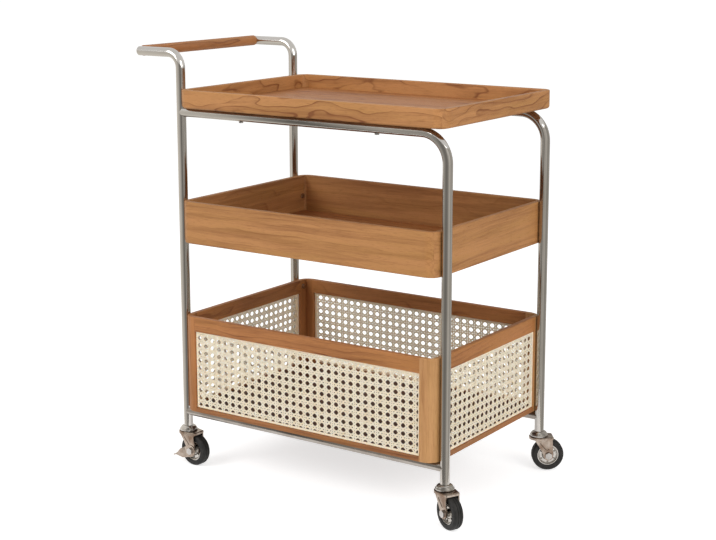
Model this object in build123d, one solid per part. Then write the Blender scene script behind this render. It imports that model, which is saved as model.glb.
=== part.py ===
from build123d import *
import math
import os

# Kitchen cart of bent chromed tube with two wooden trays, a caned basket and four casters.
# Millimetres. X runs along the cart with the push handle towards -X, Y across it, Z up.
# The origin is on the floor, below the middle of the cart's outer box.

# Tube frame
TUBE_DIAMETER = 19.0
TUBE_WALL = 1.2
UPRIGHT_SPACING_X = 626.0
UPRIGHT_SPACING_Y = 376.0
FRAME_MIDDLE_X = 33.0
LOWER_RAIL_RISE = 32.0
TOP_RAIL_RISE = 658.0
TOP_BEND_RADIUS = 55.0
COPE_GAP = 0.1

# Push handle, its rises measured from the feet of the uprights
ARM_RISE = 776.0
ARM_REACH = 104.0
ARM_TAIL = 4.0
ARM_BEND_RADIUS = 30.0
CAP_DOME_HEIGHT = 5.5
CAP_SPIGOT_LENGTH = 14.0
BAR_DIAMETER = 22.0
BAR_COPE_DEPTH = 1.5
STUD_DIAMETER = 5.0
STUD_GRIP_IN_BAR = 30.0

# Wooden boxes
BOX_SIDE_LAP = 24.0
BOARD = 12.0
CORNER_RADIUS = 25.0
RIM_ROUNDING = 2.0
TOP_TRAY_HEIGHT = 37.0
TOP_TRAY_OVERHANG = 5.0
TOP_TRAY_FLOOR = 9.0
TOP_TRAY_UNDERCUT = 6.0
MIDDLE_TRAY_RISE = 394.5
MIDDLE_TRAY_HEIGHT = 85.5
MIDDLE_TRAY_FLOOR = 6.0
MIDDLE_INNER_RADIUS = 6.0
FLOOR_REBATE = 6.0
TONGUE_DROP = 1.5
SEAT_GAP = 0.3
PANEL_GAP = 0.2

# Caned basket
BASKET_HEIGHT = 200.5
POST_LEG = 33.0
POST_RADIUS = 28.0
TOP_RAIL_DEPTH = 29.5
BOTTOM_RAIL_DEPTH = 9.0
BASKET_FLOOR = 6.0
CANE_THICKNESS = 1.6
CANE_RECESS = 3.0
SPLINE_WIDTH = 4.0
SPLINE_THICKNESS = 4.0
CANE_GAPS_LONG = 20
CANE_GAPS_SHORT = 13
CANE_GAPS_HIGH = 7
CANE_STRAND = 10.0

# Screws and bolts
BOLT_DIAMETER = 6.0
BOLT_HEAD_ACROSS = 10.0
BOLT_HEAD_HEIGHT = 4.0
BOLT_CLEARANCE = 0.05
MIDDLE_BOLT_RISE = 40.0
BASKET_BOLT_DROP = 15.0
SCREW_DIAMETER = 4.0
SCREW_HEAD_DIAMETER = 9.0
SCREW_HEAD_HEIGHT = 2.5
SCREW_SPACING = 320.0
SCREW_GRIP = 6.5

# Casters
WHEEL_DIAMETER = 66.0
TYRE_WIDTH = 21.0
SHOULDER_RADIUS = 5.5
GROOVE_WIDTH = 1.2
GROOVE_DEPTH = 1.0
GROOVE_SPACING = 5.0
RIM_DIAMETER = 44.0
RIM_WIDTH = 17.0
RIM_WALL = 2.5
DISC_THICKNESS = 6.5
RING_START_RADIUS = 10.5
RING_END_RADIUS = 19.0
RING_THICKNESS = 10.5
RING_SLOPE = 1.5
PRESSED_ROUNDING = 1.0
WHEEL_HOLES = 6
WHEEL_HOLE_DIAMETER = 4.8
WHEEL_HOLE_RADIUS = 15.0
HUB_DIAMETER = 15.0
HUB_WIDTH = 25.0
HUB_SIDE_GAP = 0.5
TRAIL = 18.3
AXLE_DIAMETER = 8.0
AXLE_HEAD_ACROSS = 13.0
AXLE_HEAD_HEIGHT = 4.0
AXLE_FIT = 0.05
CROWN_RADIUS = 20.5
CROWN_REACH = 29.0
CROWN_CORNER = 3.0
CROWN_CLEARANCE = 4.0
CROWN_ROUNDING = 2.0
FORK_SHEET = 2.5
CROWN_SKIRT = 3.0
LEG_EYE_RADIUS = 10.0
LEG_HOLLOWING = 1.5
CHANNEL_DEPTH = 0.9
CHANNEL_TAPER = 60.0
CHANNEL_TOP_RADIUS = 6.5
CHANNEL_TOP_DROP = 9.0
CHANNEL_TOP_BEHIND = 11.3
CHANNEL_FOOT_RADIUS = 4.0
CHANNEL_FOOT_RISE = 15.0
CHANNEL_FOOT_BEHIND = 2.8
RACE_HEIGHT = 3.5
RACE_RADIUS = 15.5
RACE_WIDTH = 5.0
SLIDE_GAP = 0.1
CAP_HEIGHT = 7.0
CAP_RADIUS = 18.5
CAP_WALL = 2.0
CAP_LIP_HEIGHT = 3.4
CAP_LIP_ROUNDING = 1.0
CAP_LIP_WIDTH = 1.2
CAP_DOME_BULGE = 1.3
CAP_TOP_RADIUS = 11.0
SKIRT_GAP = 0.5
KINGPIN_DIAMETER = 12.0
RIVET_HEAD_DIAMETER = 18.0
RIVET_HEAD_HEIGHT = 1.9
STEM_DIAMETER = 10.0
STEM_LENGTH = 18.0
INSERT_LENGTH = 22.0
INSERT_FIT = 0.05

# Foot brake on the two casters at the handle end
LEVER_SHEET = 1.5
LEVER_EYE_RADIUS = 12.5
LEVER_STEP_START = 13.0
LEVER_STEP_LENGTH = 8.0
LEVER_STEP_OUT = 2.5
LEVER_SHOULDER_REACH = 23.0
LEVER_SHOULDER_HEIGHT = 20.0
LEVER_WEB_REACH = 40.0
LEVER_TIP_RADIUS = 51.5
LEVER_ANGLE = 199.0
PEDAL_START_RADIUS = 35.5
PEDAL_WIDTH = 20.0
PEDAL_THICKNESS = 2.0
PEDAL_CORNER = 6.0

# Which way each caster's wheel trails, in degrees from +X, seen from above
CASTER_TURNS = {"front_left": -2.5, "front_right": -25.2, "back_right": 37.0, "back_left": 14.0}
BRAKED = ("front_left", "back_left")

# Levels and places that follow from the sizes above
tube_radius = TUBE_DIAMETER / 2
bore_radius = tube_radius - TUBE_WALL
axle_z = WHEEL_DIAMETER / 2
crown_under_z = WHEEL_DIAMETER + CROWN_CLEARANCE
crown_top_z = crown_under_z + FORK_SHEET
foot_z = crown_top_z + RACE_HEIGHT + CAP_HEIGHT
lower_rail_z = foot_z + LOWER_RAIL_RISE
top_rail_z = foot_z + TOP_RAIL_RISE
arm_z = foot_z + ARM_RISE
handle_x = FRAME_MIDDLE_X - UPRIGHT_SPACING_X / 2
far_x = FRAME_MIDDLE_X + UPRIGHT_SPACING_X / 2
side_y = UPRIGHT_SPACING_Y / 2
bar_x = handle_x - ARM_REACH
box_start_x = handle_x + tube_radius + SEAT_GAP
box_end_x = far_x - tube_radius - SEAT_GAP
box_half = side_y + BOX_SIDE_LAP
top_tray_end_x = far_x + TOP_TRAY_OVERHANG
bar_half = side_y - tube_radius + BAR_COPE_DEPTH
top_tray_z = top_rail_z + tube_radius + SEAT_GAP
middle_tray_z = foot_z + MIDDLE_TRAY_RISE
basket_z = lower_rail_z + tube_radius + SEAT_GAP
basket_top_z = basket_z + BASKET_HEIGHT
bolt_levels = (middle_tray_z + MIDDLE_BOLT_RISE, basket_top_z - BASKET_BOLT_DROP)
screw_hole_radius = SCREW_DIAMETER / 2 + BOLT_CLEARANCE
screw_xs = (FRAME_MIDDLE_X - SCREW_SPACING / 2, FRAME_MIDDLE_X + SCREW_SPACING / 2)
leg_inner_y = HUB_WIDTH / 2 + HUB_SIDE_GAP
leg_outer_y = leg_inner_y + FORK_SHEET
leg_front_x = -math.sqrt(CROWN_RADIUS**2 - leg_outer_y**2)
SIDES = {"front": -1, "back": 1}
CORNERS = {
    "front_left": (handle_x, -side_y),
    "front_right": (far_x, -side_y),
    "back_right": (far_x, side_y),
    "back_left": (handle_x, side_y),
}

os.makedirs("parts", exist_ok=True)


def save(shape, name):
    """Writes one piece under its name."""
    shape.label = name
    export_step(shape, f"parts/{name}.step")


def rod(start, direction, radius, length):
    """A round rod from a start point along a direction."""
    return extrude(Plane(start, z_dir=direction) * Circle(radius), length)


def bar_box(x0, x1, y0, y1, z0, z1):
    """A plain board between two corners."""
    return Pos(x0, y0, z0) * Box(x1 - x0, y1 - y0, z1 - z0, align=Align.MIN)


def bent_tube(points, bend_radius):
    """A hollow tube along straight runs joined by one bend radius."""
    route = FilletPolyline(*points, radius=bend_radius)
    start = Plane(route @ 0, z_dir=route % 0)
    outside = sweep(start * Circle(tube_radius), path=route)
    inside = sweep(start * Circle(bore_radius), path=route)
    return outside - inside


def straight_tube(start, direction, length):
    """A hollow tube along one straight run."""
    return rod(start, direction, tube_radius, length) - rod(start, direction, bore_radius, length)


def bolt_holes(x, y, towards):
    """The tapped holes of one upright, on its side that faces the boxes."""
    return [
        rod((x, y, level), (towards, 0, 0), BOLT_DIAMETER / 2 + BOLT_CLEARANCE, TUBE_DIAMETER)
        for level in bolt_levels
    ]


def handle_upright(side):
    """Upright at the handle end, bent outwards at its top into the handle's arm."""
    y = side * side_y
    route = [(handle_x, y, foot_z), (handle_x, y, arm_z), (bar_x - ARM_TAIL, y, arm_z)]
    tube = bent_tube(route, ARM_BEND_RADIUS)
    stud_hole = rod((bar_x, y, arm_z), (0, -side, 0), STUD_DIAMETER / 2 + BOLT_CLEARANCE, TUBE_DIAMETER)
    return tube - stud_hole - bolt_holes(handle_x, y, 1)


def bent_upright(side):
    """Far upright that bends over into the rail under the top tray."""
    y = side * side_y
    route = [(far_x, y, foot_z), (far_x, y, top_rail_z), (handle_x, y, top_rail_z)]
    tube = bent_tube(route, TOP_BEND_RADIUS)
    cope = rod((handle_x, y, foot_z), (0, 0, 1), tube_radius + COPE_GAP, ARM_RISE)
    screw_holes = [
        rod((x, y, top_rail_z - TUBE_DIAMETER), (0, 0, 1), screw_hole_radius, 2 * TUBE_DIAMETER)
        for x in screw_xs
    ]
    return tube - cope - screw_holes - bolt_holes(far_x, y, -1)


def lower_rail(side):
    """Rail between the feet of two uprights, coped to them at both ends, that carries the basket."""
    y = side * side_y
    tube = straight_tube((handle_x, y, lower_rail_z), (1, 0, 0), UPRIGHT_SPACING_X)
    copes = [rod((x, y, foot_z), (0, 0, 1), tube_radius + COPE_GAP, TOP_RAIL_RISE) for x in (handle_x, far_x)]
    return tube - copes


def foot_inserts():
    """Plugs pressed into the feet of the uprights, bored for the casters' stems."""
    plugs = []
    for x, y in CORNERS.values():
        plug = rod((x, y, foot_z), (0, 0, 1), bore_radius - INSERT_FIT, INSERT_LENGTH)
        plugs.append(plug - rod((x, y, foot_z), (0, 0, 1), STEM_DIAMETER / 2 + INSERT_FIT, INSERT_LENGTH))
    return Compound(children=plugs)


def arm_caps():
    """Domed plugs that close the two arms, with a spigot that the handle's studs screw into."""
    caps = []
    dome_radius = (tube_radius**2 + CAP_DOME_HEIGHT**2) / (2 * CAP_DOME_HEIGHT)
    end_x = bar_x - ARM_TAIL
    for side in SIDES.values():
        y = side * side_y
        ball = Pos(end_x - CAP_DOME_HEIGHT + dome_radius, y, arm_z) * Sphere(dome_radius)
        dome = ball & rod((end_x, y, arm_z), (-1, 0, 0), tube_radius, CAP_DOME_HEIGHT)
        spigot = rod((end_x, y, arm_z), (1, 0, 0), bore_radius - INSERT_FIT, CAP_SPIGOT_LENGTH)
        hole = rod((bar_x, y, arm_z), (0, -side, 0), STUD_DIAMETER / 2 + BOLT_CLEARANCE, TUBE_DIAMETER)
        caps.append(dome + spigot - hole)
    return Compound(children=caps)


def handle_bar():
    """Turned wooden bar, hollowed at its ends to hug the arms and bored for the studs."""
    bar = rod((bar_x, -bar_half, arm_z), (0, 1, 0), BAR_DIAMETER / 2, 2 * bar_half)
    for side in SIDES.values():
        y = side * side_y
        bar -= rod((bar_x - BAR_DIAMETER, y, arm_z), (1, 0, 0), tube_radius + COPE_GAP, 2 * BAR_DIAMETER)
        inner = side * (bar_half - STUD_GRIP_IN_BAR)
        bar -= rod((bar_x, inner, arm_z), (0, side, 0), STUD_DIAMETER / 2 + BOLT_CLEARANCE, STUD_GRIP_IN_BAR)
    return bar


def handle_studs():
    """Studs from the arms' plugs into the ends of the bar."""
    length = side_y - bar_half + STUD_GRIP_IN_BAR - SEAT_GAP
    studs = []
    for side in SIDES.values():
        studs.append(rod((bar_x, side * side_y, arm_z), (0, -side, 0), STUD_DIAMETER / 2, length))
    return Compound(children=studs)


def rounded_block(x0, x1, radius, inset, z0, z1):
    """A block as wide as the boxes less an inset all round, with its upright corners rounded."""
    length = x1 - x0 - 2 * inset
    face = RectangleRounded(length, 2 * (box_half - inset), radius)
    return extrude(Pos((x0 + x1) / 2, 0, z0) * face, z1 - z0)


def mitred_walls(ring, x0, x1, z0, z1):
    """Cuts a ring of board at its four mitred corners into front, back, handle end and far end."""
    half = box_half
    outlines = {
        "front": [(x0, -half), (x1, -half), (x1 - half, 0), (x0 + half, 0)],
        "back": [(x0, half), (x1, half), (x1 - half, 0), (x0 + half, 0)],
        "handle_end": [(x0, -half), (x0, half), (x0 + half, 0)],
        "far_end": [(x1, -half), (x1, half), (x1 - half, 0)],
    }
    walls = {}
    for name, outline in outlines.items():
        walls[name] = ring & extrude(Pos(0, 0, z0) * make_face(Polyline(*outline, close=True)), z1 - z0)
    return walls


def tray_ring(x0, x1, z0, height, floor, inner_radius, undercut):
    """Four walls as one ring, rebated below for the floor board, its rim and lower edge rounded."""
    z1 = z0 + height
    ring = rounded_block(x0, x1, CORNER_RADIUS, 0, z0, z1)
    low_edges = ring.edges().group_by(Axis.Z)[0]
    ring = fillet(low_edges, undercut)
    ring -= rounded_block(x0, x1, inner_radius, BOARD, z0, z1)
    ring = fillet(ring.edges().group_by(Axis.Z)[-1], RIM_ROUNDING)
    return ring - rounded_block(x0, x1, inner_radius, BOARD - FLOOR_REBATE, z0, z0 + floor - TONGUE_DROP)


def tray_floor(x0, x1, z0, floor, inner_radius):
    """Floor board between the walls, with a thinner tongue all round that lies in their rebate."""
    tongue_top = z0 + floor - TONGUE_DROP - PANEL_GAP
    tongue = rounded_block(x0, x1, inner_radius, BOARD - FLOOR_REBATE + PANEL_GAP, z0, tongue_top)
    return tongue + rounded_block(x0, x1, inner_radius, BOARD + PANEL_GAP, z0, z0 + floor)


def board_bolt_holes(level):
    """Clearance holes through both ends of a box, in line with the uprights."""
    radius = BOLT_DIAMETER / 2 + BOLT_CLEARANCE
    holes = []
    for side in SIDES.values():
        for x in (box_start_x, box_end_x - BOARD):
            holes.append(rod((x, side * side_y, level), (1, 0, 0), radius, BOARD))
    return holes


def top_tray():
    """The shallow tray on the top rails: floor and four walls."""
    ring = tray_ring(
        box_start_x, top_tray_end_x, top_tray_z, TOP_TRAY_HEIGHT, TOP_TRAY_FLOOR,
        CORNER_RADIUS - BOARD, TOP_TRAY_UNDERCUT,
    )
    floor = tray_floor(box_start_x, top_tray_end_x, top_tray_z, TOP_TRAY_FLOOR, CORNER_RADIUS - BOARD)
    for side in SIDES.values():
        for x in screw_xs:
            floor -= rod((x, side * side_y, top_tray_z), (0, 0, 1), screw_hole_radius, SCREW_GRIP)
    walls = mitred_walls(ring, box_start_x, top_tray_end_x, top_tray_z, top_tray_z + TOP_TRAY_HEIGHT)
    return floor, walls


def middle_tray():
    """The deeper tray bolted between the uprights: floor and four walls."""
    ring = tray_ring(
        box_start_x, box_end_x, middle_tray_z, MIDDLE_TRAY_HEIGHT, MIDDLE_TRAY_FLOOR,
        MIDDLE_INNER_RADIUS, RIM_ROUNDING,
    )
    ring -= board_bolt_holes(bolt_levels[0])
    floor = tray_floor(box_start_x, box_end_x, middle_tray_z, MIDDLE_TRAY_FLOOR, MIDDLE_INNER_RADIUS)
    walls = mitred_walls(ring, box_start_x, box_end_x, middle_tray_z, middle_tray_z + MIDDLE_TRAY_HEIGHT)
    return floor, walls


def basket_posts():
    """Four corner posts of L section, rounded outside."""
    block = rounded_block(box_start_x, box_end_x, POST_RADIUS, 0, basket_z, basket_top_z)
    half = box_half
    inner = half - BOARD
    inside = bar_box(box_start_x + BOARD, box_end_x - BOARD, -inner, inner, basket_z, basket_top_z)
    ring = fillet((block - inside).edges().group_by(Axis.Z)[-1], RIM_ROUNDING)
    ring -= board_bolt_holes(bolt_levels[1])
    posts = {}
    for name, (x, y) in CORNERS.items():
        start = box_start_x if x == handle_x else box_end_x - POST_LEG
        low = -half if y < 0 else half - POST_LEG
        posts[name] = ring & bar_box(start, start + POST_LEG, low, low + POST_LEG, basket_z, basket_top_z)
    return posts


def basket_rails():
    """Top and bottom rails between the posts, on all four sides."""
    half = box_half
    spans = {
        "front": (box_start_x + POST_LEG, box_end_x - POST_LEG, -half, BOARD - half),
        "back": (box_start_x + POST_LEG, box_end_x - POST_LEG, half - BOARD, half),
        "handle_end": (box_start_x, box_start_x + BOARD, POST_LEG - half, half - POST_LEG),
        "far_end": (box_end_x - BOARD, box_end_x, POST_LEG - half, half - POST_LEG),
    }
    rails = {}
    for name, (x0, x1, y0, y1) in spans.items():
        top = bar_box(x0, x1, y0, y1, basket_top_z - TOP_RAIL_DEPTH, basket_top_z)
        long_axis = Axis.X if x1 - x0 > y1 - y0 else Axis.Y
        rim = top.edges().filter_by(long_axis).group_by(Axis.Z)[-1]
        rails[f"{name}_top"] = fillet(rim, RIM_ROUNDING)
        rails[f"{name}_bottom"] = bar_box(x0, x1, y0, y1, basket_z, basket_z + BOTTOM_RAIL_DEPTH)
    return rails


def basket_floor():
    """Board between the bottom rails and the posts, which lies on the lower frame rails."""
    inset = BOARD + PANEL_GAP
    half = box_half - inset
    return bar_box(box_start_x + inset, box_end_x - inset, -half, half, basket_z, basket_z + BASKET_FLOOR)


def cane_sheet(length, columns):
    """One caned sheet, flat on the XY plane with its outer face up: the woven net inside its spline."""
    height = BASKET_HEIGHT - TOP_RAIL_DEPTH - BOTTOM_RAIL_DEPTH - 2 * PANEL_GAP
    net_length = length - 2 * SPLINE_WIDTH
    net_height = height - 2 * SPLINE_WIDTH
    pitch_x = net_length / columns
    pitch_y = net_height / CANE_GAPS_HIGH
    gap = Rectangle(pitch_x - CANE_STRAND, pitch_y - CANE_STRAND)
    net = Rectangle(length, height) - GridLocations(pitch_x, pitch_y, columns, CANE_GAPS_HIGH) * gap
    spline = Rectangle(length, height) - Rectangle(net_length, net_height)
    return extrude(net, -CANE_THICKNESS) + extrude(spline, -SPLINE_THICKNESS)


def cane_panels():
    """The four caned sheets, each set back a little between its rails and posts."""
    z = (basket_z + BOTTOM_RAIL_DEPTH + basket_top_z - TOP_RAIL_DEPTH) / 2
    x = (box_start_x + box_end_x) / 2
    y = box_half - CANE_RECESS
    long_sheet = cane_sheet(box_end_x - box_start_x - 2 * POST_LEG - 2 * PANEL_GAP, CANE_GAPS_LONG)
    short_sheet = cane_sheet(2 * (box_half - POST_LEG - PANEL_GAP), CANE_GAPS_SHORT)
    start_x = box_start_x + CANE_RECESS
    end_x = box_end_x - CANE_RECESS
    return {
        "front": Plane((x, -y, z), x_dir=(1, 0, 0), z_dir=(0, -1, 0)) * long_sheet,
        "back": Plane((x, y, z), x_dir=(-1, 0, 0), z_dir=(0, 1, 0)) * long_sheet,
        "handle_end": Plane((start_x, 0, z), x_dir=(0, -1, 0), z_dir=(-1, 0, 0)) * short_sheet,
        "far_end": Plane((end_x, 0, z), x_dir=(0, 1, 0), z_dir=(1, 0, 0)) * short_sheet,
    }


def box_bolts():
    """Hexagon bolts from inside the middle tray and the basket into the four uprights."""
    length = BOARD + SEAT_GAP + tube_radius
    bolts = []
    for level in bolt_levels:
        for x, y in CORNERS.values():
            outward = -1 if x == handle_x else 1
            seat = box_start_x + BOARD if x == handle_x else box_end_x - BOARD
            head_face = RegularPolygon(BOLT_HEAD_ACROSS / 2, 6, major_radius=False)
            head = extrude(Plane((seat, y, level), z_dir=(-outward, 0, 0)) * head_face, BOLT_HEAD_HEIGHT)
            bolts.append(head + rod((seat, y, level), (outward, 0, 0), BOLT_DIAMETER / 2, length))
    return Compound(children=bolts)


def tray_screws():
    """Screws up through the top rails into the floor of the top tray."""
    under = top_rail_z - tube_radius - SEAT_GAP
    length = TUBE_DIAMETER + 2 * SEAT_GAP + SCREW_GRIP - SEAT_GAP
    screws = []
    for side in SIDES.values():
        for x in screw_xs:
            y = side * side_y
            head = rod((x, y, under), (0, 0, -1), SCREW_HEAD_DIAMETER / 2, SCREW_HEAD_HEIGHT)
            screws.append(head + rod((x, y, under), (0, 0, 1), SCREW_DIAMETER / 2, length))
    return Compound(children=screws)


def turned(section):
    """A piece turned about the upright Z axis from a section drawn as radius and height."""
    return revolve(Plane.XZ * section, Axis.Z)


def turned_on_axle(section):
    """A piece turned about the wheel's axle from a section drawn as radius and offset along the axle."""
    return Pos(TRAIL, 0, axle_z) * revolve(section, Axis.Y)


def caster_stem():
    """Threaded stem, domed bearing cap with a rolled lip, and riveted kingpin, turned as one."""
    pin = KINGPIN_DIAMETER / 2
    ceiling = crown_top_z + RACE_HEIGHT + SLIDE_GAP
    skirt = crown_top_z + SKIRT_GAP
    lip_top = skirt + CAP_LIP_HEIGHT
    rivet_top = crown_under_z - SLIDE_GAP
    dome_radius = CAP_RADIUS - CAP_LIP_WIDTH
    dome = SagittaArc((CAP_TOP_RADIUS, foot_z), (dome_radius, lip_top), CAP_DOME_BULGE)
    outline = Polyline(
        (dome_radius, lip_top),
        (CAP_RADIUS, lip_top),
        (CAP_RADIUS, skirt),
        (CAP_RADIUS - CAP_WALL, skirt),
        (CAP_RADIUS - CAP_WALL, ceiling),
        (pin, ceiling),
        (pin, rivet_top),
        (RIVET_HEAD_DIAMETER / 2, rivet_top),
        (RIVET_HEAD_DIAMETER / 2, rivet_top - RIVET_HEAD_HEIGHT),
        (0, rivet_top - RIVET_HEAD_HEIGHT),
        (0, foot_z + STEM_LENGTH),
        (STEM_DIAMETER / 2, foot_z + STEM_LENGTH),
        (STEM_DIAMETER / 2, foot_z),
        (CAP_TOP_RADIUS, foot_z),
    )
    section = make_face([*outline.edges(), dome])
    return turned(fillet(section.vertices().group_by(Axis.X)[-1], CAP_LIP_ROUNDING))


def ball_race():
    """The caged ring of balls between the cap and the fork, as one plain ring."""
    low = crown_top_z + SLIDE_GAP
    high = crown_top_z + RACE_HEIGHT
    middle = RACE_RADIUS - RACE_WIDTH / 2
    return turned(Pos(middle, (low + high) / 2) * Rectangle(RACE_WIDTH, high - low))


def crown_outline(inset):
    """The fork crown seen from above: round at the kingpin, drawn out over the wheel to two rounded corners."""
    corner = Circle(CROWN_CORNER - inset)
    corner_x = CROWN_REACH - CROWN_CORNER
    corner_y = leg_outer_y - CROWN_CORNER
    near, far = (Pos(corner_x, side * corner_y) * corner for side in SIDES.values())
    return make_hull([*Circle(CROWN_RADIUS - inset).edges(), *near.edges(), *far.edges()])


def leg_outline():
    """One fork leg seen along the axle: it narrows from the crown down to a round eye, its front edge hollow."""
    eye_start = (TRAIL - LEG_EYE_RADIUS, axle_z)
    eye_end = (TRAIL + LEG_EYE_RADIUS, axle_z)
    top_back = (CROWN_REACH - CROWN_CORNER, crown_under_z)
    top_front = (leg_front_x, crown_under_z)
    return make_face([
        SagittaArc(top_front, eye_start, LEG_HOLLOWING),
        ThreePointArc(eye_start, (TRAIL, axle_z - LEG_EYE_RADIUS), eye_end),
        Line(eye_end, top_back),
        Line(top_back, top_front),
    ])


def leg_channel():
    """The channel pressed into a leg, seen along the axle: wide below the crown and narrow above the eye."""
    top = Pos(TRAIL - CHANNEL_TOP_BEHIND, crown_under_z - CHANNEL_TOP_DROP) * Circle(CHANNEL_TOP_RADIUS)
    foot = Pos(TRAIL - CHANNEL_FOOT_BEHIND, axle_z + CHANNEL_FOOT_RISE) * Circle(CHANNEL_FOOT_RADIUS)
    return make_hull([*top.edges(), *foot.edges()])


def caster_fork():
    """Pressed steel fork: a hooded crown over the wheel and two channelled legs down to the axle."""
    skirt_z = crown_under_z - CROWN_SKIRT
    crown = extrude(Pos(0, 0, skirt_z) * crown_outline(0), crown_top_z - skirt_z)
    crown = fillet(crown.edges().group_by(Axis.Z)[-1], CROWN_ROUNDING)
    crown -= extrude(Pos(0, 0, skirt_z) * crown_outline(FORK_SHEET), CROWN_SKIRT)
    fork = crown
    for side in SIDES.values():
        outer = Plane((0, side * leg_outer_y, 0), x_dir=(1, 0, 0), z_dir=(0, -1, 0))
        inner = Plane((0, side * leg_inner_y, 0), x_dir=(1, 0, 0), z_dir=(0, -1, 0))
        fork += extrude(outer * leg_outline(), side * FORK_SHEET)
        fork += extrude(inner * leg_channel(), side * CHANNEL_DEPTH, taper=CHANNEL_TAPER)
        fork -= extrude(outer * leg_channel(), side * CHANNEL_DEPTH, taper=CHANNEL_TAPER)
    fork -= rod((0, 0, crown_under_z), (0, 0, 1), KINGPIN_DIAMETER / 2 + AXLE_FIT, FORK_SHEET)
    return fork - rod((TRAIL, -leg_outer_y, axle_z), (0, 1, 0), AXLE_DIAMETER / 2 + AXLE_FIT, 2 * leg_outer_y)


def caster_tyre():
    """Solid rubber tyre with round shoulders and two grooves round its tread."""
    outer = WHEEL_DIAMETER / 2
    bore = RIM_DIAMETER / 2 + AXLE_FIT
    section = Pos((bore + outer) / 2, 0) * Rectangle(outer - bore, TYRE_WIDTH)
    section = fillet(section.vertices().group_by(Axis.X)[-1], SHOULDER_RADIUS)
    for side in SIDES.values():
        section -= Pos(outer, side * GROOVE_SPACING / 2) * Rectangle(2 * GROOVE_DEPTH, GROOVE_WIDTH)
    return turned_on_axle(section)


def caster_wheel():
    """Pressed wheel: hub, a disc with a raised ring of round holes, and the rim that carries the tyre."""
    bore = AXLE_DIAMETER / 2 + AXLE_FIT
    hub = HUB_DIAMETER / 2
    rim = RIM_DIAMETER / 2
    half = FilletPolyline(
        (bore, HUB_WIDTH / 2),
        (hub, HUB_WIDTH / 2),
        (hub, DISC_THICKNESS / 2),
        (RING_START_RADIUS, DISC_THICKNESS / 2),
        (RING_START_RADIUS + RING_SLOPE, RING_THICKNESS / 2),
        (RING_END_RADIUS - RING_SLOPE, RING_THICKNESS / 2),
        (rim - RIM_WALL, DISC_THICKNESS / 2),
        (rim - RIM_WALL, RIM_WIDTH / 2),
        (rim, RIM_WIDTH / 2),
        radius=PRESSED_ROUNDING,
    )
    other = mirror(half, Plane.XZ)
    seats = [Line(half @ 0, other @ 0), Line(half @ 1, other @ 1)]
    wheel = turned_on_axle(make_face([*half.edges(), *other.edges(), *seats]))
    for turn in range(WHEEL_HOLES):
        angle = math.radians(90 + turn * 360 / WHEEL_HOLES)
        hole_x = TRAIL + WHEEL_HOLE_RADIUS * math.cos(angle)
        hole_z = axle_z + WHEEL_HOLE_RADIUS * math.sin(angle)
        wheel -= rod((hole_x, -RIM_WIDTH / 2, hole_z), (0, 1, 0), WHEEL_HOLE_DIAMETER / 2, RIM_WIDTH)
    return wheel


def axle_bolt(braked):
    """Hexagon bolt through legs and hub with its nut, longer where a brake lever sits under its head."""
    head_y = leg_outer_y + (LEVER_SHEET + 2 * SLIDE_GAP if braked else 0)
    hexagon = RegularPolygon(AXLE_HEAD_ACROSS / 2, 6, major_radius=False)
    head = extrude(Plane((TRAIL, -head_y, axle_z), z_dir=(0, -1, 0)) * hexagon, AXLE_HEAD_HEIGHT)
    nut = extrude(Plane((TRAIL, leg_outer_y, axle_z), z_dir=(0, 1, 0)) * hexagon, AXLE_HEAD_HEIGHT)
    shank = rod((TRAIL, -head_y, axle_z), (0, 1, 0), AXLE_DIAMETER / 2, head_y + leg_outer_y)
    return head + shank + nut


def brake_lever():
    """Foot lever hung on the axle: a round eye, a web that steps outwards beside the wheel, and a pedal
    turned in across the front of the wheel."""
    shoulder = LEVER_SHOULDER_HEIGHT / 2
    outline = make_hull([
        *Circle(LEVER_EYE_RADIUS).edges(),
        Line((LEVER_SHOULDER_REACH, -shoulder), (LEVER_SHOULDER_REACH, shoulder)),
        *(Pos(LEVER_WEB_REACH, 0) * Circle(PEDAL_THICKNESS / 2)).edges(),
    ])
    step_end = LEVER_STEP_START + LEVER_STEP_LENGTH
    web_end = LEVER_WEB_REACH + PEDAL_THICKNESS
    outer = LEVER_STEP_OUT + LEVER_SHEET
    bent_sheet = make_face(Polyline(
        (-LEVER_EYE_RADIUS, 0),
        (LEVER_STEP_START, 0),
        (step_end, LEVER_STEP_OUT),
        (web_end, LEVER_STEP_OUT),
        (web_end, outer),
        (step_end, outer),
        (LEVER_STEP_START, LEVER_SHEET),
        (-LEVER_EYE_RADIUS, LEVER_SHEET),
        close=True,
    ))
    web = extrude(outline, outer) & extrude(Plane.XZ * bent_sheet, LEVER_EYE_RADIUS, both=True)
    pedal = Pos(PEDAL_START_RADIUS, -PEDAL_THICKNESS / 2, outer - PEDAL_WIDTH) * Box(
        LEVER_TIP_RADIUS - PEDAL_START_RADIUS, PEDAL_THICKNESS, PEDAL_WIDTH, align=Align.MIN
    )
    pedal = fillet(pedal.edges().filter_by(Axis.Y).group_by(Axis.X)[-1], PEDAL_CORNER)
    lever = web + pedal - extrude(Circle(AXLE_DIAMETER / 2 + AXLE_FIT), LEVER_SHEET)
    angle = math.radians(LEVER_ANGLE)
    along = (math.cos(angle), 0, math.sin(angle))
    hung = Plane((TRAIL, -leg_outer_y - SLIDE_GAP, axle_z), x_dir=along, z_dir=(0, -1, 0))
    return hung * lever


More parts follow.
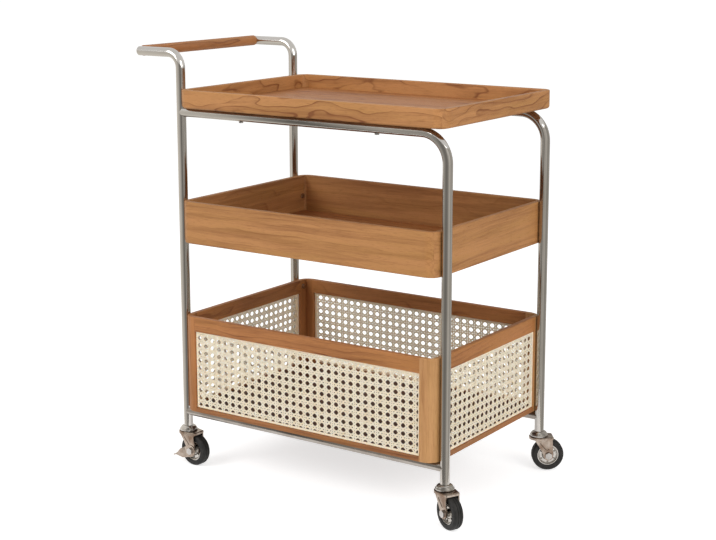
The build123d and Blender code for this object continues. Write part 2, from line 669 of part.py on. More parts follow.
def main():
    for name, side in SIDES.items():
        save(handle_upright(side), f"{name}_handle_upright")
        save(bent_upright(side), f"{name}_bent_upright")
        save(lower_rail(side), f"{name}_lower_rail")
    save(foot_inserts(), "foot_inserts")
    save(arm_caps(), "arm_end_caps")
    save(handle_bar(), "handle_bar")
    save(handle_studs(), "handle_studs")

    for tray, (floor, walls) in {"top_tray": top_tray(), "middle_tray": middle_tray()}.items():
        save(floor, f"{tray}_floor")
        for name, wall in walls.items():
            save(wall, f"{tray}_{name}_wall")

    for name, post in basket_posts().items():
        save(post, f"basket_{name}_post")
    for name, rail in basket_rails().items():
        save(rail, f"basket_{name}_rail")
    for name, panel in cane_panels().items():
        save(panel, f"basket_{name}_cane")
    save(basket_floor(), "basket_floor")
    save(box_bolts(), "box_bolts")
    save(tray_screws(), "tray_screws")

    stem, race, fork, tyre, wheel = caster_stem(), ball_race(), caster_fork(), caster_tyre(), caster_wheel()
    save(Compound(children=[Pos(x, y, 0) * stem for x, y in CORNERS.values()]), "caster_stems")
    save(Compound(children=[Pos(x, y, 0) * race for x, y in CORNERS.values()]), "ball_races")
    for name, (x, y) in CORNERS.items():
        place = Pos(x, y, 0) * Rot(0, 0, CASTER_TURNS[name])
        save(place * fork, f"{name}_caster_fork")
        save(place * tyre, f"{name}_tyre")
        save(place * wheel, f"{name}_wheel")
        save(place * axle_bolt(name in BRAKED), f"{name}_axle_bolt")
        if name in BRAKED:
            save(place * brake_lever(), f"{name}_brake_lever")


main()
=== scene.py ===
import math

import bpy
import numpy as np
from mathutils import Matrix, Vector


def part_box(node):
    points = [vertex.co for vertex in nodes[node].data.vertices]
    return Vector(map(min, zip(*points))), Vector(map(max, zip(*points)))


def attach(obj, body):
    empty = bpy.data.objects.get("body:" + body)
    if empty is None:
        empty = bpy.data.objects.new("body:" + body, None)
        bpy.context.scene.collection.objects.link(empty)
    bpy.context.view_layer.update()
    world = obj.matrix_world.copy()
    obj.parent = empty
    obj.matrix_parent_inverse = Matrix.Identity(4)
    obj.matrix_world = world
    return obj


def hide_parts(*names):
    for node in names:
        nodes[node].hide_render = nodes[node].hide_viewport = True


# Looks of a kitchen cart: bent chromed tube, two lacquered wooden trays, a caned basket and four casters.
# Metres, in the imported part's own frame: X along the cart, Y across it, Z up.
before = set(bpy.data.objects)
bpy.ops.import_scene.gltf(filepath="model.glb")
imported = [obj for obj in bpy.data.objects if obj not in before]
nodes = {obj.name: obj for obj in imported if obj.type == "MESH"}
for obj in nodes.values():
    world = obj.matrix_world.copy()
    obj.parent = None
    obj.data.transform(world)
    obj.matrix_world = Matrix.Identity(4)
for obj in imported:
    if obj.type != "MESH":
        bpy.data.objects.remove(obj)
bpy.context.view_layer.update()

MM = 0.001


# Meshes


def join_parts(parts):
    """Several (vertices, quads) surfaces as one pair of arrays."""
    starts = np.cumsum([0] + [len(v) for v, q in parts[:-1]])
    vertices = np.concatenate([v for v, q in parts])
    quads = np.concatenate([q + start for (v, q), start in zip(parts, starts)])
    return vertices, quads


def grid_quads(rows, columns, wrap_rows=False, wrap_columns=False):
    """Quads of a grid whose point (i, j) has the number i * columns + j."""
    i = np.arange(rows if wrap_rows else rows - 1)[:, None]
    j = np.arange(columns if wrap_columns else columns - 1)[None, :]
    i_next, j_next = (i + 1) % rows, (j + 1) % columns
    corners = [i * columns + j, i * columns + j_next, i_next * columns + j_next, i_next * columns + j]
    return np.stack([np.broadcast_to(c, (i.size, j.size)) for c in corners], axis=-1).reshape(-1, 4)


def add_object(name, mesh, material):
    """A mesh with its material, as an object at the origin."""
    mesh.materials.append(material)
    made = bpy.data.objects.new(name, mesh)
    bpy.context.scene.collection.objects.link(made)
    return made


def make_piece(name, vertices, quads, uv, body, material, replaced, sharp_degrees):
    """A finished piece from arrays of vertices and quads, riding on a body and standing for CAD nodes."""
    mesh = bpy.data.meshes.new(name)
    mesh.vertices.add(len(vertices))
    mesh.vertices.foreach_set("co", np.ascontiguousarray(vertices, dtype=np.float32).ravel())
    mesh.loops.add(quads.size)
    mesh.loops.foreach_set("vertex_index", np.ascontiguousarray(quads, dtype=np.int32).ravel())
    mesh.polygons.add(len(quads))
    mesh.polygons.foreach_set("loop_start", np.arange(0, quads.size, 4, dtype=np.int32))
    mesh.update(calc_edges=True)
    mesh.validate()
    layer = mesh.uv_layers.new(name="along_strand")
    layer.data.foreach_set("uv", np.ascontiguousarray(uv[quads.ravel()], dtype=np.float32).ravel())
    mesh.polygons.foreach_set("use_smooth", np.ones(len(mesh.polygons), dtype=bool))
    mesh.set_sharp_from_angle(angle=math.radians(sharp_degrees))
    piece = add_object(name, mesh, material)
    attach(piece, body)
    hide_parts(*replaced)


# Shader nodes


def srgb(red, green, blue):
    """A colour given in display numbers from 0 to 255, as the linear colour that nodes take."""
    channels = np.array([red, green, blue]) / 255
    linear = np.where(channels <= 0.04045, channels / 12.92, ((channels + 0.055) / 1.055) ** 2.4)
    return (*linear.tolist(), 1.0)


def grey(level):
    """A grey of a linear level."""
    return (level, level, level, 1.0)


def new_material(name):
    """A node material with its tree, its surface shader, and the coordinates that its patterns read."""
    material = bpy.data.materials.new(name)
    material.use_nodes = True
    tree = material.node_tree
    shader = tree.nodes["Principled BSDF"]
    place = tree.nodes.new("ShaderNodeTexCoord").outputs["Object"]
    return material, tree, shader, place


def node(tree, kind, inputs, **settings):
    """One shader node with its properties and its inputs, by socket name or number, set or linked."""
    made = tree.nodes.new("ShaderNode" + kind)
    for key, value in settings.items():
        setattr(made, key, value)
    for key, value in inputs.items():
        if isinstance(value, bpy.types.NodeSocket):
            tree.links.new(value, made.inputs[key])
        else:
            made.inputs[key].default_value = value
    return made


def maths(tree, operation, a, b=0.0, clamp=False):
    """One arithmetic step on two values."""
    return node(tree, "Math", {0: a, 1: b}, operation=operation, use_clamp=clamp).outputs[0]


def swing(tree, value, middle, weight, clamp=False):
    """How far a value lies above its middle, times a weight."""
    return maths(tree, "MULTIPLY", maths(tree, "SUBTRACT", value, middle), weight, clamp)


def vectors(tree, operation, a, b):
    """One arithmetic step on two vectors."""
    return node(tree, "VectorMath", {0: a, 1: b}, operation=operation).outputs[0]


def noise(tree, place, scale, detail=3.0, roughness=0.5):
    """Cloudy noise from 0 to 1 at a place, with its own scale per axis."""
    spread = vectors(tree, "MULTIPLY", place, scale)
    inputs = {"Vector": spread, "Scale": 1.0, "Detail": detail, "Roughness": roughness}
    return node(tree, "TexNoise", inputs).outputs["Fac"]


def tone_by_number(tree, number):
    """A value of its own, from 0 to 1, for every whole number that a running number has passed."""
    whole = maths(tree, "FLOOR", number)
    return node(tree, "TexWhiteNoise", {"W": whole}, noise_dimensions="1D").outputs["Value"]


def ramp(tree, value, stops):
    """A colour that runs through (position, colour) stops."""
    made = node(tree, "ValToRGB", {0: value})
    elements = made.color_ramp.elements
    while len(elements) < len(stops):
        elements.new(0.5)
    for element, (position, colour) in zip(elements, stops):
        element.position = position
        element.color = colour
    return made.outputs["Color"]


def grey_ramp(tree, value, stops):
    """A grey that runs through (position, level) stops."""
    return ramp(tree, value, [(position, grey(level)) for position, level in stops])


def blend_colours(tree, share, a, b):
    """Two colours mixed by a share from 0 to 1."""
    made = node(tree, "Mix", {}, data_type="RGBA", blend_type="MIX")
    for socket, value in ((made.inputs[0], share), (made.inputs[6], a), (made.inputs[7], b)):
        if isinstance(value, bpy.types.NodeSocket):
            tree.links.new(value, socket)
        else:
            socket.default_value = value
    return made.outputs[2]


def bumped(tree, shader, height, depth):
    """Lets a height pattern tilt the surface: depth is its relief in metres."""
    bump = node(tree, "Bump", {"Strength": 1.0, "Distance": depth, "Height": height})
    tree.links.new(bump.outputs["Normal"], shader.inputs["Normal"])


# Finishes. A scale is the noise cells per metre on each axis, and wood's first axis is its grain's.

GRAIN_TURNS = {"x": (0.0, 0.0, 0.0), "y": (0.0, 0.0, -math.pi / 2), "z": (0.0, math.pi / 2, 0.0)}
WANDER_SCALE = (7.0, 24.0, 24.0)
WANDER_REACH = 0.05
BROAD_SCALE = (5.0, 22.0, 22.0)
FIBRE_SCALE = (14.0, 420.0, 420.0)
STREAK_SCALE = (3.0, 95.0, 95.0)
PORE_SCALE = (60.0, 1500.0, 1500.0)
YELLOW_SCALE = (4.0, 40.0, 40.0)
RING_TONE_WEIGHT = 0.35
FIBRE_WEIGHT = 0.7
STREAK_WEIGHT = 1.3
BROAD_WEIGHT = 0.8
PORE_WEIGHT = 0.3
LATE_EDGE = [(0.0, 0.25), (0.05, 0.05), (0.45, 0.0), (0.84, 0.22), (0.95, 1.0), (1.0, 0.6)]
PORE_EDGE = [(0.0, 1.0), (0.36, 1.0), (0.43, 0.0), (1.0, 0.0)]
OLIVE = (0.86, 0.90, 0.72)
WOOD_RELIEF = 0.12 * MM


def wood(name, grain, shift, light, dark, ring_gap, figure, tilt=2.2, streak=1.0):
    """Lacquered sawn board. Growth rings are the distance from a trunk axis that runs nearly along the grain,
    wandering by slow noise. Each ring has its own tone and darkens to a fine late edge. Streaks, fibres and
    pores are noise stretched along the grain."""
    material, tree, shader, place = new_material(name)
    along = node(tree, "Mapping", {"Vector": place, "Rotation": GRAIN_TURNS[grain]}).outputs[0]
    lean = (0.0, math.radians(tilt), math.radians(0.7 * tilt))
    trunk = node(tree, "Mapping", {"Vector": along, "Location": shift, "Rotation": lean}).outputs[0]

    slow = vectors(tree, "MULTIPLY", trunk, WANDER_SCALE)
    cloud = node(tree, "TexNoise", {"Vector": slow, "Scale": 1.0, "Detail": 2.0, "Roughness": 0.4})
    offset = vectors(tree, "ADD", cloud.outputs["Color"], (-0.5, -0.5, -0.5))
    pushed = vectors(tree, "MULTIPLY", offset, (0.0, WANDER_REACH * figure, WANDER_REACH * figure))
    flat = vectors(tree, "MULTIPLY", vectors(tree, "ADD", trunk, pushed), (0.0, 1.0, 1.0))
    distance = node(tree, "VectorMath", {0: flat}, operation="LENGTH").outputs["Value"]
    ring = maths(tree, "DIVIDE", distance, ring_gap)
    late_edge = grey_ramp(tree, maths(tree, "FRACT", ring), LATE_EDGE)

    broad = noise(tree, trunk, BROAD_SCALE, 2.0)
    fibres = noise(tree, trunk, FIBRE_SCALE, 4.0, 0.62)
    streaks = noise(tree, trunk, STREAK_SCALE, 3.0, 0.6)
    pore_marks = grey_ramp(tree, noise(tree, trunk, PORE_SCALE, 2.0), PORE_EDGE)
    edge_strength = grey_ramp(tree, broad, [(0.0, 0.15 * figure), (0.4, 0.35 * figure), (0.62, figure)])

    share = maths(tree, "MULTIPLY", late_edge, edge_strength)
    share = maths(tree, "ADD", share, swing(tree, tone_by_number(tree, ring), 0.5, RING_TONE_WEIGHT * figure))
    share = maths(tree, "ADD", share, swing(tree, fibres, 0.5, FIBRE_WEIGHT))
    share = maths(tree, "ADD", share, swing(tree, streaks, 0.42, STREAK_WEIGHT * streak))
    share = maths(tree, "ADD", share, swing(tree, broad, 0.5, BROAD_WEIGHT), clamp=True)

    olive = (*(channel * factor for channel, factor in zip(light, OLIVE)), 1.0)
    yellowing = swing(tree, noise(tree, trunk, YELLOW_SCALE, 2.0), 0.42, 2.2, clamp=True)
    ground = blend_colours(tree, yellowing, light, olive)
    colour = blend_colours(tree, share, ground, dark)
    colour = blend_colours(tree, maths(tree, "MULTIPLY", pore_marks, PORE_WEIGHT), colour, dark)
    tree.links.new(colour, shader.inputs["Base Color"])

    gloss = maths(tree, "ADD", maths(tree, "MULTIPLY", fibres, 0.16), 0.40)
    gloss = maths(tree, "ADD", gloss, maths(tree, "MULTIPLY", pore_marks, 0.12))
    tree.links.new(gloss, shader.inputs["Roughness"])
    shader.inputs["Specular IOR Level"].default_value = 0.3
    height = maths(tree, "SUBTRACT", fibres, maths(tree, "MULTIPLY", pore_marks, 0.8))
    bumped(tree, shader, height, WOOD_RELIEF)
    return material


WIPING_SCALE = (900.0, 900.0, 60.0)


def polished(name, tint, wear_and_painted_reflection, low, high, patch=9.0, scratch_depth=0.012 * MM):
    """Plated steel: a bright metal with cloudy patches of a second tint and fine wiping scratches in its
    gloss.
    The second tint is wear on the chrome and zinc, painted shade on the lower rails and painted reflection
    on the caster steel. Its roughness runs from low to high, and patch is the patches' scale."""
    material, tree, shader, place = new_material(name)
    wear_and_reflection_patches = noise(tree, place, (patch, patch, patch))
    wiping = noise(tree, place, WIPING_SCALE, 2.0)
    share = maths(tree, "ADD", maths(tree, "MULTIPLY", wear_and_reflection_patches, 0.6), maths(tree, "MULTIPLY", wiping, 0.4))
    tree.links.new(grey_ramp(tree, share, [(0.3, low), (0.75, high)]), shader.inputs["Roughness"])
    # Second tint: wear on chrome and zinc, painted shade on the lower rails, painted reflection on the caster
    # steel
    colour = ramp(tree, wear_and_reflection_patches, [(0.36, (*tint, 1.0)), (0.66, (*wear_and_painted_reflection, 1.0))])
    tree.links.new(colour, shader.inputs["Base Color"])
    shader.inputs["Metallic"].default_value = 1.0
    bumped(tree, shader, wiping, scratch_depth)
    return material


DUST_SCALE = (60.0, 60.0, 60.0)
RUBBER_GRAIN_SCALE = (1800.0, 1800.0, 1800.0)
RUBBER_RELIEF = 0.05 * MM


def rubber(name, clean, dusty):
    """Black solid rubber, dusted grey in patches, with a fine matt skin."""
    material, tree, shader, place = new_material(name)
    dust = noise(tree, place, DUST_SCALE, 4.0, 0.6)
    grain = noise(tree, place, RUBBER_GRAIN_SCALE, 2.0)
    tree.links.new(ramp(tree, dust, [(0.35, clean), (0.7, dusty)]), shader.inputs["Base Color"])
    gloss = maths(tree, "ADD", maths(tree, "MULTIPLY", dust, 0.3), 0.42)
    tree.links.new(gloss, shader.inputs["Roughness"])
    shader.inputs["Specular IOR Level"].default_value = 0.3
    bumped(tree, shader, grain, RUBBER_RELIEF)
    return material


CANE_FIBRE_SCALE = (60.0, 30.0, 1.0)
CANE_CLOUD_SCALE = (25.0, 25.0, 25.0)
CANE_GLOW_DEPTH = 1.2 * MM
CANE_RELIEF = 0.05 * MM


def cane(name, light, middle, dark):
    """Split cane: pale fibres along each strand, a tone of its own for every strand, and a soft sheen.
    Thin strands let light through from behind."""
    material, tree, shader, place = new_material(name)
    along = node(tree, "UVMap", {}, uv_map="along_strand").outputs[0]
    tone = tone_by_number(tree, node(tree, "SeparateXYZ", {0: along}).outputs[1])
    fibres = noise(tree, along, CANE_FIBRE_SCALE, 3.0, 0.6)
    cloud = noise(tree, place, CANE_CLOUD_SCALE, 2.0)
    share = maths(tree, "ADD", maths(tree, "MULTIPLY", tone, 0.45), maths(tree, "MULTIPLY", fibres, 0.4))
    share = maths(tree, "ADD", share, maths(tree, "MULTIPLY", cloud, 0.25), clamp=True)
    colour = ramp(tree, share, [(0.15, light), (0.55, middle), (1.0, dark)])
    tree.links.new(colour, shader.inputs["Base Color"])
    gloss = maths(tree, "ADD", maths(tree, "MULTIPLY", fibres, 0.25), 0.42)
    tree.links.new(gloss, shader.inputs["Roughness"])
    shader.inputs["Specular IOR Level"].default_value = 0.4
    shader.inputs["Subsurface Weight"].default_value = 0.6
    shader.inputs["Subsurface Radius"].default_value = (1.0, 0.85, 0.65)
    shader.inputs["Subsurface Scale"].default_value = CANE_GLOW_DEPTH
    bumped(tree, shader, fibres, CANE_RELIEF)
    return material


def assign(material, *names):
    """Gives CAD nodes a finish by their own material slots."""
    for name in names:
        for slot in nodes[name].material_slots:
            slot.material = material


chrome = polished("chrome", (0.53, 0.505, 0.475), (0.47, 0.445, 0.41), 0.08, 0.17)
# The lower rails get a darker copy of the chrome: painted shade of the cart's underside in their reflections.
painted_shade_rail_chrome = polished("lower_rail_chrome_painted_shade", (0.37, 0.34, 0.31), (0.28, 0.245, 0.215), 0.10, 0.22, 20.0)
# The caster steel's brown tint and dark brown patches are painted reflection of the shaded ground and wood
# around the casters.
caster_steel_painted_reflection = polished("caster_steel_painted_reflection", (0.43, 0.365, 0.31), (0.20, 0.135, 0.095), 0.10, 0.24, 55.0)
zinc = polished("zinc_steel", (0.50, 0.48, 0.46), (0.43, 0.41, 0.39), 0.18, 0.36, 40.0, 0.03 * MM)
black_rubber = rubber("tyre_rubber", srgb(22, 22, 21), srgb(50, 48, 46))
cane_finish = cane("split_cane", srgb(255, 237, 211), srgb(252, 230, 200), srgb(238, 209, 172))
# The border strip is paler than the weave: a painted highlight along its rounded face.
spline_painted_highlight_finish = cane("cane_spline_painted_highlight", srgb(255, 240, 218), srgb(255, 235, 208), srgb(250, 224, 190))

# Nodes of each metal and rubber finish, by the ends of their names
PLAIN_FINISHES = [
    (black_rubber, ("_tyre",)),
    (zinc, ("_axle_bolt", "box_bolts", "tray_screws", "foot_inserts", "ball_races", "handle_studs")),
    (chrome, ("_upright", "_wheel", "arm_end_caps", "caster_stems")),
    (painted_shade_rail_chrome, ("_lower_rail",)),
    (caster_steel_painted_reflection, ("_fork", "_lever")),
]
for finish, endings in PLAIN_FINISHES:
    assign(finish, *(name for name in nodes if name.endswith(endings)))

# Light and dark tones of each kind of board, and the gap between its growth rings
TOP_WOOD = srgb(189, 133, 81), srgb(128, 76, 37), 11 * MM
MIDDLE_WOOD = srgb(187, 132, 80), srgb(128, 77, 38), 6 * MM
RAIL_WOOD = srgb(182, 121, 70), srgb(114, 62, 28), 9 * MM
LOW_RAIL_WOOD = srgb(166, 110, 66), srgb(102, 56, 28), 9 * MM
POST_WOOD = srgb(200, 150, 99), srgb(146, 93, 49), 5 * MM
HANDLE_END_POST_WOOD = *RAIL_WOOD[:2], 5 * MM
FLOOR_WOOD = srgb(177, 116, 66), srgb(117, 64, 30), 12 * MM
# The basket floor's very dark tones are painted shade of the basket's inside, seen through the cane.
SHADED_BASKET_FLOOR_WOOD = srgb(96, 57, 35), srgb(60, 33, 19), 12 * MM
BAR_WOOD = *RAIL_WOOD[:2], 8 * MM

# Each wall's grain runs along it, and its boards are sawn a little further on in the trunk
WALL_GRAINS = {"front": "x", "back": "x", "handle_end": "y", "far_end": "y"}
NEXT_BOARD = 0.03

for number, (side, grain) in enumerate(WALL_GRAINS.items()):
    further = NEXT_BOARD * number
    rail_shift = (further, 0.27, -0.22)
    assign(wood(f"top_tray_{side}_wood", grain, (further, 0.24, -0.745 + further), *TOP_WOOD, 1.0),
           f"top_tray_{side}_wall")
    assign(wood(f"middle_tray_{side}_wood", grain, (further, 0.31, -0.45), *MIDDLE_WOOD, 0.35, 1.0, 1.3),
           f"middle_tray_{side}_wall")
    assign(wood(f"basket_{side}_top_rail_wood", grain, rail_shift, *RAIL_WOOD, 0.6),
           f"basket_{side}_top_rail")
    assign(wood(f"basket_{side}_bottom_rail_wood", grain, rail_shift, *LOW_RAIL_WOOD, 0.6),
           f"basket_{side}_bottom_rail")

assign(wood("basket_post_wood", "z", (0.0, 0.35, 0.4), *POST_WOOD, 0.25, 0.6),
       "basket_front_right_post", "basket_back_right_post")
assign(wood("basket_handle_end_post_wood", "z", (0.0, 0.31, 0.2), *HANDLE_END_POST_WOOD, 0.3, 0.6),
       "basket_front_left_post", "basket_back_left_post")
assign(wood("tray_floor_wood", "x", (0.0, 0.02, -0.5), *FLOOR_WOOD, 0.8),
       "top_tray_floor", "middle_tray_floor")
assign(wood("basket_floor_painted_shade_wood", "x", (0.0, 0.05, -0.1), *SHADED_BASKET_FLOOR_WOOD, 0.6), "basket_floor")
assign(wood("handle_bar_wood", "y", (0.0, 0.4, -0.84), *BAR_WOOD, 0.6), "handle_bar")


# Caned sheets. Points are (s, t, h): along the sheet, up and outward, from the middle of its outer face.

REPEAT_ALONG = 17.05 * MM
REPEAT_UP = 15.8 * MM
STRAND_WIDTH = 3.05 * MM
STRAND_THICKNESS = 0.42 * MM
STRAND_SHARES = np.array([-0.5, -0.3, 0.3, 0.5, 0.3, -0.3])
STRAND_HEIGHTS = np.array([0.0, 0.5, 0.5, 0.0, -0.45, -0.45]) * STRAND_THICKNESS
WIDTH_SPREAD = 0.05
PLACE_SPREAD = 0.12 * MM
PAIR_HALF_GAP = 2.05 * MM
WEAVE_LIFT = 0.22 * MM
DIAGONAL_LIFT = 0.55 * MM
NET_DEPTH = 1.0 * MM
NET_SHARP_DEGREES = 40
SPLINE_WIDTH = 4.0 * MM
SPLINE_DEPTH = 4.0 * MM
SPLINE_ROUNDING = 1.3 * MM
SPLINE_ROUNDING_POINTS = 5
SPLINE_SHARP_DEGREES = 30
FIRST_SEED = 11

# Each side's direction along and outward, where its weave starts from the side and from the top, in repeats,
# and how far its level strands sag in the middle
SHEET_FACES = {
    "front": ((1.0, 0.0, 0.0), (0.0, -1.0, 0.0), 0.25, 0.55, 3.4 * MM),
    "back": ((-1.0, 0.0, 0.0), (0.0, 1.0, 0.0), 0.6, 0.4, 2.0 * MM),
    "handle_end": ((0.0, -1.0, 0.0), (-1.0, 0.0, 0.0), 0.5, 0.5, 1.5 * MM),
    "far_end": ((0.0, 1.0, 0.0), (1.0, 0.0, 0.0), 0.7, 0.5, 1.5 * MM),
}


def strand_surface(points, across, outward, width):
    """One flat strand: a crowned band carried along a line of points, with thin edges and a raised middle."""
    sideways = STRAND_SHARES[None, :, None] * width * across
    ring = points[:, None, :] + sideways + STRAND_HEIGHTS[None, :, None] * outward
    return ring.reshape(-1, 3), grid_quads(len(points), len(STRAND_SHARES), wrap_columns=True)


def woven_sheet(length, height, first_gap, top_gap, sag, seed):
    """The open eight-sided cane weave on a flat sheet. Upright and level strands lie in pairs between the
    gaps and pass over and under each other in turn. Two sets of slanting strands cross halfway between
    neighbouring gaps and cut the corners of each square gap."""
    draw = np.random.default_rng(seed)
    first = -length / 2 + SPLINE_WIDTH + first_gap * REPEAT_ALONG
    top = height / 2 - SPLINE_WIDTH - top_gap * REPEAT_UP
    columns = np.arange(-1, math.ceil(length / REPEAT_ALONG) + 1)
    rows = np.arange(-1, math.ceil(height / REPEAT_UP) + 1)
    pair = np.array([-PAIR_HALF_GAP, PAIR_HALF_GAP])
    upright_s = ((first + (columns + 0.5) * REPEAT_ALONG)[:, None] + pair).ravel()
    level_t = ((top - (rows + 0.5) * REPEAT_UP)[:, None] + pair[::-1]).ravel()
    edge_s, edge_t = length / 2 - STRAND_WIDTH / 2, height / 2 - STRAND_WIDTH / 2
    parts, tones = [], []

    def lay(s, t, h, across):
        """Bends a strand's line down with the sheet's sag, keeps it inside the border and builds its band."""
        width = STRAND_WIDTH * (1 + draw.normal(0, WIDTH_SPREAD))
        t = t - sag * (1 - (2 * s / length) ** 2)
        points = np.stack([np.clip(s, -edge_s, edge_s), np.clip(t, -edge_t, edge_t), h], axis=1)
        parts.append(strand_surface(points, across, np.array([0.0, 0.0, 1.0]), width))
        steps = np.concatenate([[0.0], np.cumsum(np.linalg.norm(np.diff(points, axis=0), axis=1))])
        around = len(STRAND_SHARES)
        v = np.tile(np.linspace(0.1, 0.9, around), len(points)) + len(parts)
        tones.append(np.stack([np.repeat(steps, around), v], axis=1))

    for index, s in enumerate(upright_s):
        if abs(s) < edge_s:
            turn = np.where((np.arange(len(level_t)) + index) % 2 == 0, 1.0, -1.0)
            own_s = np.full(len(level_t), s + draw.normal(0, PLACE_SPREAD))
            lay(own_s, level_t, turn * WEAVE_LIFT, np.array([1.0, 0.0, 0.0]))
    for index, t in enumerate(level_t):
        if abs(t) < edge_t + sag:
            turn = np.where((np.arange(len(upright_s)) + index) % 2 == 0, -1.0, 1.0)
            own_t = np.full(len(upright_s), t + draw.normal(0, PLACE_SPREAD))
            lay(upright_s, own_t, turn * WEAVE_LIFT, np.array([0.0, -1.0, 0.0]))
    halves = np.arange(-2, 2 * len(columns) + 2) / 2
    for slope in (1, -1):
        slant = np.array([REPEAT_ALONG, -slope * REPEAT_UP, 0.0])
        across = np.array([slant[1], -slant[0], 0.0]) / np.linalg.norm(slant)
        for start in range(-len(columns) - len(rows), len(columns) + len(rows)):
            down = slope * halves + 0.5 + start
            s, t = first + halves * REPEAT_ALONG, top - down * REPEAT_UP
            kept = (np.abs(s) < edge_s + REPEAT_ALONG / 2) & (np.abs(t) < edge_t + REPEAT_UP / 2)
            if kept.sum() > 1:
                lift = np.where(halves % 1 == 0, -slope, slope) * DIAGONAL_LIFT
                lay(s[kept], t[kept], lift[kept], across)
    vertices, quads = join_parts(parts)
    return vertices, quads, np.concatenate(tones)


def spline_border(length, height):
    """The border strip: a band with a rounded face, carried round a rectangle with mitred corners."""
    turns = np.linspace(0, math.pi / 2, SPLINE_ROUNDING_POINTS)
    r = SPLINE_ROUNDING
    outer = np.stack([r - r * np.cos(turns), -r + r * np.sin(turns)], axis=1)
    inner = np.stack([SPLINE_WIDTH - r + r * np.sin(turns), -r + r * np.cos(turns)], axis=1)
    profile = np.concatenate([[[0, -SPLINE_DEPTH]], outer, inner, [[SPLINE_WIDTH, -SPLINE_DEPTH]]])
    inset, level = profile[:, 0], profile[:, 1]
    signs = np.array([(-1, -1), (1, -1), (1, 1), (-1, 1)])
    s = signs[:, 0, None] * (length / 2 - inset)
    t = signs[:, 1, None] * (height / 2 - inset)
    points = np.stack([s, t, np.broadcast_to(level, s.shape)], axis=-1).reshape(-1, 3)
    return points, grid_quads(4, len(profile), wrap_rows=True, wrap_columns=True)


def set_in_place(points, origin, along, outward):
    """Sheet points (s, t, h) as points in the cart's frame."""
    axes = np.array([along, (0.0, 0.0, 1.0), outward])
    return np.asarray(origin) + points @ axes


def caned_sheet(side, seed):
    """One basket side's weave and border, in the place of its CAD sheet."""
    along, outward, first_gap, top_gap, sag = SHEET_FACES[side]
    node_name = f"basket_{side}_cane"
    low, high = (np.array(corner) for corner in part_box(node_name))
    centre, size = (low + high) / 2, high - low
    length = abs(np.dot(size, along))
    origin = centre + np.array(outward) * abs(np.dot(size, outward)) / 2
    net, quads, strand_uv = woven_sheet(length, size[2], first_gap, top_gap, sag, seed)
    net = set_in_place(net - [0, 0, NET_DEPTH], origin, along, outward)
    make_piece(f"{node_name}_weave", net, quads, strand_uv, "frame", cane_finish, [node_name],
               NET_SHARP_DEGREES)
    border, quads = spline_border(length, size[2])
    flat_uv = np.stack([border[:, 0] + border[:, 1], np.full(len(border), 0.5)], axis=1)
    border = set_in_place(border, origin, along, outward)
    make_piece(f"{node_name}_border", border, quads, flat_uv, "frame", spline_painted_highlight_finish, [node_name],
               SPLINE_SHARP_DEGREES)


for number, side in enumerate(SHEET_FACES):
    caned_sheet(side, FIRST_SEED + number)


# Studio: a white floor and surroundings, soft lamps, and a grey tent that only reflections see

FLOOR_HALF = 30.0
FLOOR_DROP = 0.0002
FLOOR_LEVEL = 0.86
FLOOR_GLOW = 0.6
EVEN_LIGHT = 0.5
TENT_HALF_LENGTH = 0.58
TENT_HALF_WIDTH = 0.40
TENT_HEIGHT = 0.88
TENT_POINTS = 96
TENT_TINT = (1.04, 1.0, 0.93)

# The tent's level at bearings in degrees from +X
TENT_TONES = [
    (-180, 0.90), (-166, 1.00), (-152, 0.98), (-143, 0.83), (-138, 0.78), (-132, 0.72), (-127, 0.54),
    (-121, 0.36), (-116, 0.28), (-109, 0.18), (-103, 0.26), (-97, 0.40), (-80, 0.56), (-66, 0.44),
    (-57, 0.34), (-50, 0.25), (-42, 0.27), (-37, 0.34), (-33, 0.48), (-28, 0.64), (-22, 0.72),
    (-17, 0.54), (-11, 0.44), (-4, 0.52), (2, 0.66), (9, 0.60), (15, 0.44), (27, 0.36), (34, 0.56),
    (60, 0.40), (120, 0.60), (180, 0.90),
]


def seen_directly(tree):
    """1 for what the camera sees, straight, in metal or through glass, and 0 for light on things."""
    seen = tree.nodes.new("ShaderNodeLightPath")
    direct = maths(tree, "MAXIMUM", seen.outputs["Is Camera Ray"], seen.outputs["Is Glossy Ray"])
    return maths(tree, "MAXIMUM", direct, seen.outputs["Is Transmission Ray"])


def studio_floor():
    """A wide pale floor that brightens to the background's white for the camera, in metal and through glass,
    and keeps the cart's shadow."""
    mesh = bpy.data.meshes.new("studio_floor")
    corners = [(x * FLOOR_HALF, y * FLOOR_HALF, 0) for x, y in ((-1, -1), (1, -1), (1, 1), (-1, 1))]
    mesh.from_pydata(corners, [], [(0, 1, 2, 3)])
    material = bpy.data.materials.new("studio_floor")
    material.use_nodes = True
    tree = material.node_tree
    shader = tree.nodes["Principled BSDF"]
    shader.inputs["Base Color"].default_value = grey(FLOOR_LEVEL)
    shader.inputs["Roughness"].default_value = 0.9
    shader.inputs["Specular IOR Level"].default_value = 0.1
    shader.inputs["Emission Color"].default_value = grey(1.0)
    glow = maths(tree, "MULTIPLY", seen_directly(tree), FLOOR_GLOW)
    tree.links.new(glow, shader.inputs["Emission Strength"])
    floor = add_object("studio_floor", mesh, material)
    floor.location.z = -FLOOR_DROP


def surroundings():
    """White for the camera, for reflections and through glass; a plain even light for everything else."""
    world = bpy.data.worlds.new("studio")
    world.use_nodes = True
    bpy.context.scene.world = world
    tree = world.node_tree
    background = tree.nodes["Background"]
    brighter = maths(tree, "MULTIPLY", seen_directly(tree), 1.0 - EVEN_LIGHT)
    tree.links.new(maths(tree, "ADD", brighter, EVEN_LIGHT), background.inputs["Strength"])
    background.inputs["Color"].default_value = grey(1.0)


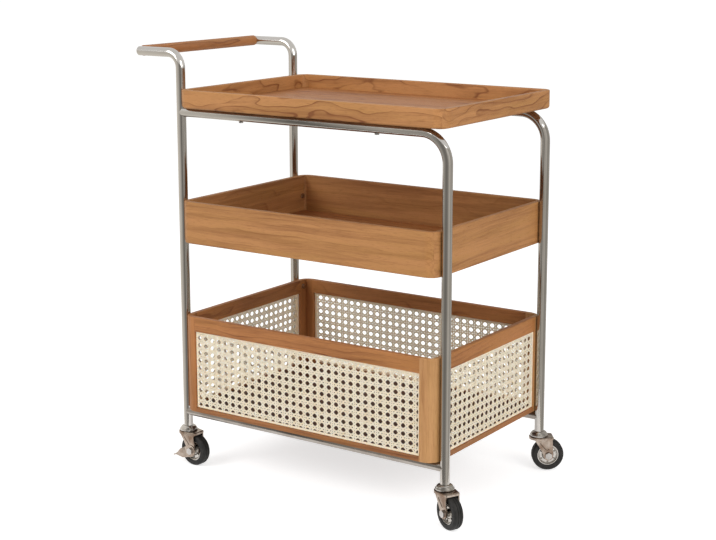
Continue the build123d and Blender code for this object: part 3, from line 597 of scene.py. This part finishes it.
def soft_lamp(name, place, target, size, power):
    """A square soft lamp aimed at a point."""
    data = bpy.data.lights.new(name, "AREA")
    data.shape = "SQUARE"
    data.size = size
    data.energy = power
    lamp = bpy.data.objects.new(name, data)
    lamp.location = place
    aim = Vector(np.array(target) - np.array(place))
    lamp.rotation_mode = "QUATERNION"
    lamp.rotation_quaternion = aim.to_track_quat("-Z", "Y")
    bpy.context.scene.collection.objects.link(lamp)


def studio_tent():
    """A grey tent wall round the cart that only reflections see. Its path is a rounded rectangle, a
    superellipse x = a cos^(1/2) t, y = b sin^(1/2) t, and its warm grey follows the bearing."""
    turn = np.linspace(0, 2 * math.pi, TENT_POINTS, endpoint=False)
    x = TENT_HALF_LENGTH * np.sign(np.cos(turn)) * np.sqrt(np.abs(np.cos(turn)))
    y = TENT_HALF_WIDTH * np.sign(np.sin(turn)) * np.sqrt(np.abs(np.sin(turn)))
    rows = [np.stack([x, y, np.full(turn.size, level)], axis=1) for level in (0.0, TENT_HEIGHT)]
    quads = grid_quads(2, turn.size, wrap_columns=True)[:, ::-1]
    mesh = bpy.data.meshes.new("studio_tent")
    mesh.from_pydata(np.concatenate(rows).tolist(), [], quads.tolist())
    material, tree, shader, place = new_material("studio_tent")
    tree.nodes.remove(shader)
    axes = node(tree, "SeparateXYZ", {0: place})
    bearing = maths(tree, "ARCTAN2", axes.outputs[1], axes.outputs[0])
    share = maths(tree, "ADD", maths(tree, "DIVIDE", bearing, 2 * math.pi), 0.5)
    stops = [
        (degrees / 360 + 0.5, (*(tint * level for tint in TENT_TINT), 1.0)) for degrees, level in TENT_TONES
    ]
    glow = node(tree, "Emission", {"Color": ramp(tree, share, stops), "Strength": 1.0})
    tree.links.new(glow.outputs[0], tree.nodes["Material Output"].inputs["Surface"])
    tent = add_object("studio_tent", mesh, material)
    tent.visible_camera = False
    tent.visible_diffuse = False
    tent.visible_shadow = False
    tent.visible_transmission = False


studio_floor()
surroundings()
soft_lamp("key_lamp", place=(-1.6, -3.2, 2.6), target=(0.0, 0.0, 0.45), size=2.2, power=68)
soft_lamp("fill_lamp", place=(3.4, -1.2, 1.9), target=(0.0, 0.0, 0.4), size=2.4, power=64)
studio_tent()


# Camera: a little above the trays, looking down along the cart's front right corner

CAMERA_PLACE = (1.7465, -2.5219, 1.0964)
CAMERA_DOWN, CAMERA_ROLL, CAMERA_TURN = 10.924, 0.085, 34.351
CAMERA_LENS = 76.93
CAMERA_FILM_WIDTH = 36.0
CAMERA_SHIFT = -0.06


def set_camera():
    """The photo's viewpoint, with a small part of its downward shift. The angles are in degrees."""
    data = bpy.data.cameras.new("camera")
    data.lens = CAMERA_LENS
    data.sensor_width = CAMERA_FILM_WIDTH
    data.shift_y = CAMERA_SHIFT
    camera = bpy.data.objects.new("camera", data)
    camera.location = CAMERA_PLACE
    camera.rotation_euler = [math.radians(turn) for turn in (90 - CAMERA_DOWN, CAMERA_ROLL, CAMERA_TURN)]
    bpy.context.scene.collection.objects.link(camera)
    bpy.context.scene.camera = camera


set_camera()
bpy.context.scene.view_settings.view_transform = "Standard"
